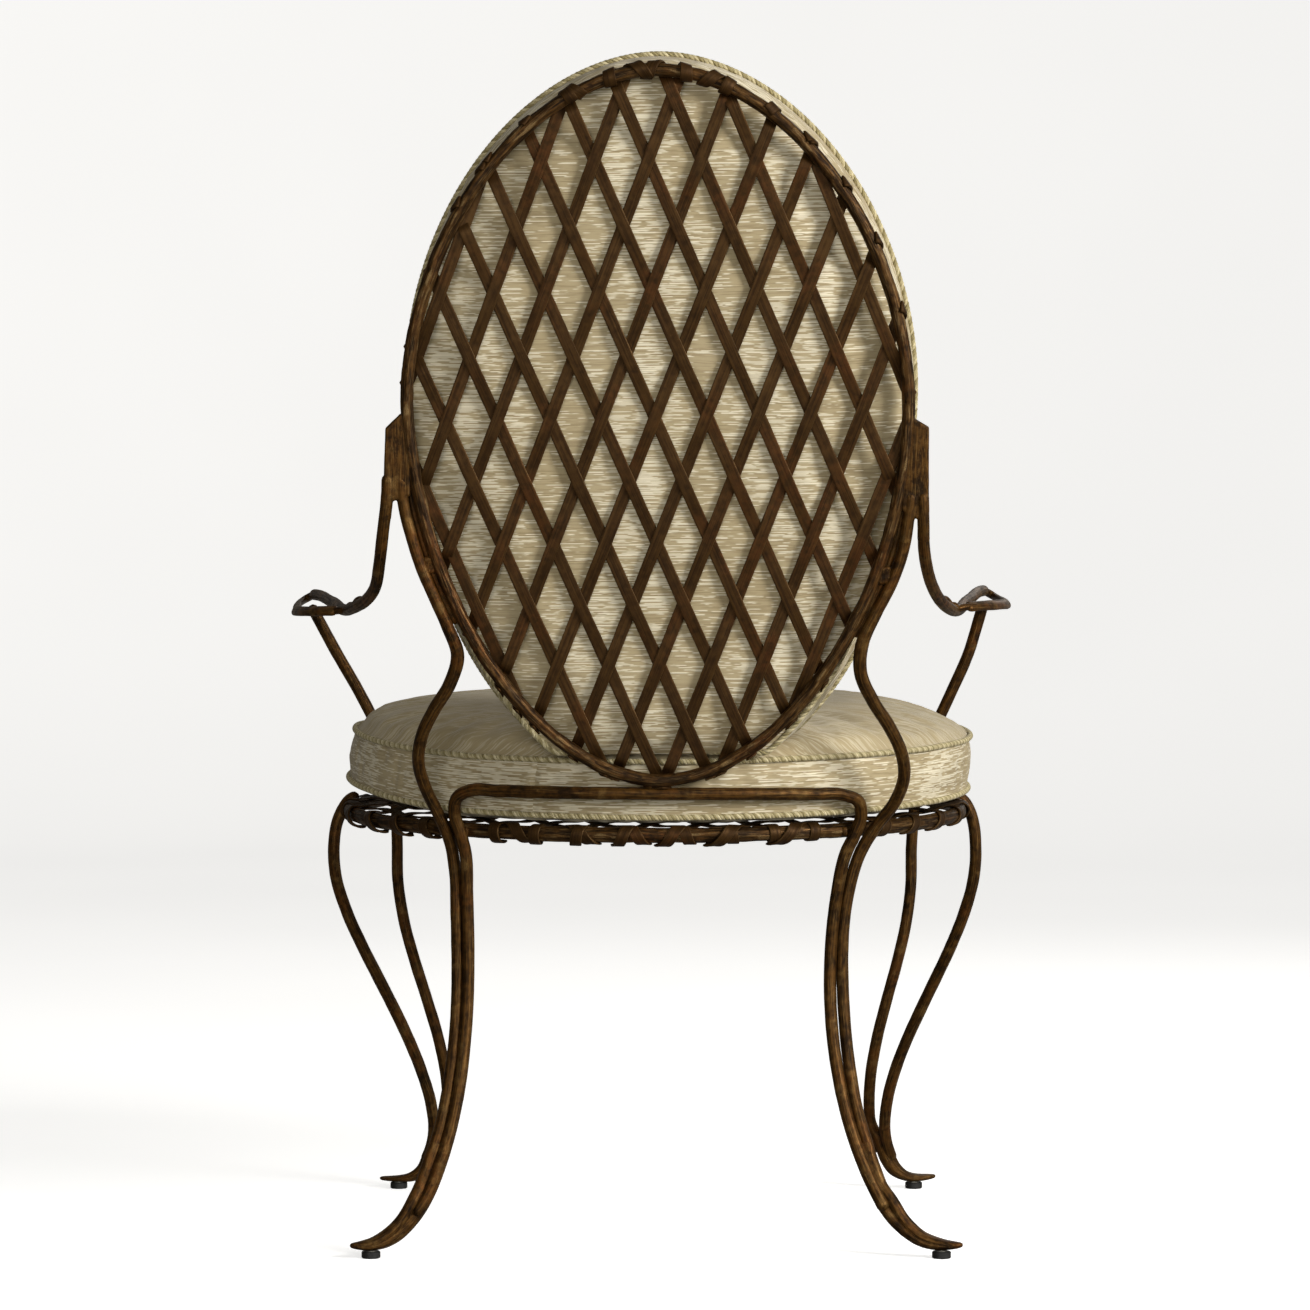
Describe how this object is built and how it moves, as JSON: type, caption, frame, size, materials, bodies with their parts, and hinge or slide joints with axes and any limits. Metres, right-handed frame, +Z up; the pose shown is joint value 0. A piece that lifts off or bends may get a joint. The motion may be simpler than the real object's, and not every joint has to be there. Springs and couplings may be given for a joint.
{
  "type": "garden armchair",
  "caption": "Forged metal garden armchair with an oval lattice back, round lattice seat, paired-rod legs, looped arms and loose boxed seat and back cushions.",
  "frame": {"origin": "on the floor, under the middle of the chair's overall box", "axes": "+Z up, the sitter faces -Y, +Y is the rear of the chair, +X is the sitter's left"},
  "size_m": [0.7195, 0.7254, 1.112],
  "materials": {
    "ironwork": "matt rust-brown painted forged steel, a little mottled",
    "glide_plastic": "dark moulded glide",
    "stud_steel": "plated stud",
    "cushion_fabric": "tan outdoor fabric with fine silvery horizontal slubs",
    "cushion_foam": "foam core with its wadding",
    "welt_cord": "twisted two-tone cord"
  },
  "bodies": {
    "frame": {"seat_ring": "ironwork", "back_ring": "ironwork", "toe_rear_left": "ironwork", "toe_rear_right": "ironwork", "toe_front_left": "ironwork", "toe_front_right": "ironwork", "glide_pads": "glide_plastic", "glide_studs": "stud_steel", "rear_rail_rod": "ironwork", "rear_upright_left": "ironwork", "rear_upright_right": "ironwork", "front_leg_outer_left": "ironwork", "front_leg_outer_right": "ironwork", "front_leg_post_left": "ironwork", "front_leg_post_right": "ironwork", "arm_rod_left": "ironwork", "arm_rod_right": "ironwork", "arm_loop_left": "ironwork", "arm_loop_right": "ironwork", "arm_curl_left": "ironwork", "arm_curl_right": "ironwork", "seat_straps_rising": "ironwork", "seat_straps_falling": "ironwork", "back_straps_rising": "ironwork", "back_straps_falling": "ironwork", "back_plate_left": "ironwork", "back_plate_right": "ironwork", "upright_webs": "ironwork", "ring_block": "ironwork", "leg_welds": "ironwork"},
    "seat_cushion": {"seat_cushion_core": "cushion_foam", "seat_cushion_top_panel": "cushion_fabric", "seat_cushion_bottom_panel": "cushion_fabric", "seat_cushion_boxing": "cushion_fabric", "seat_cushion_top_welt": "welt_cord", "seat_cushion_bottom_welt": "welt_cord"},
    "back_cushion": {"back_cushion_core": "cushion_foam", "back_cushion_front_panel": "cushion_fabric", "back_cushion_rear_panel": "cushion_fabric", "back_cushion_boxing": "cushion_fabric", "back_cushion_front_welt": "welt_cord", "back_cushion_rear_welt": "welt_cord"}
  },
  "joints": [
    {"name": "seat_cushion_lift", "type": "slide", "parent": "frame", "child": "seat_cushion", "axis": [0, 0, 1], "range_m": [0, 0.3]},
    {"name": "back_cushion_lift", "type": "slide", "parent": "seat_cushion", "child": "back_cushion", "axis": [0, 0, 1], "range_m": [0, 0.25]}
  ]
}
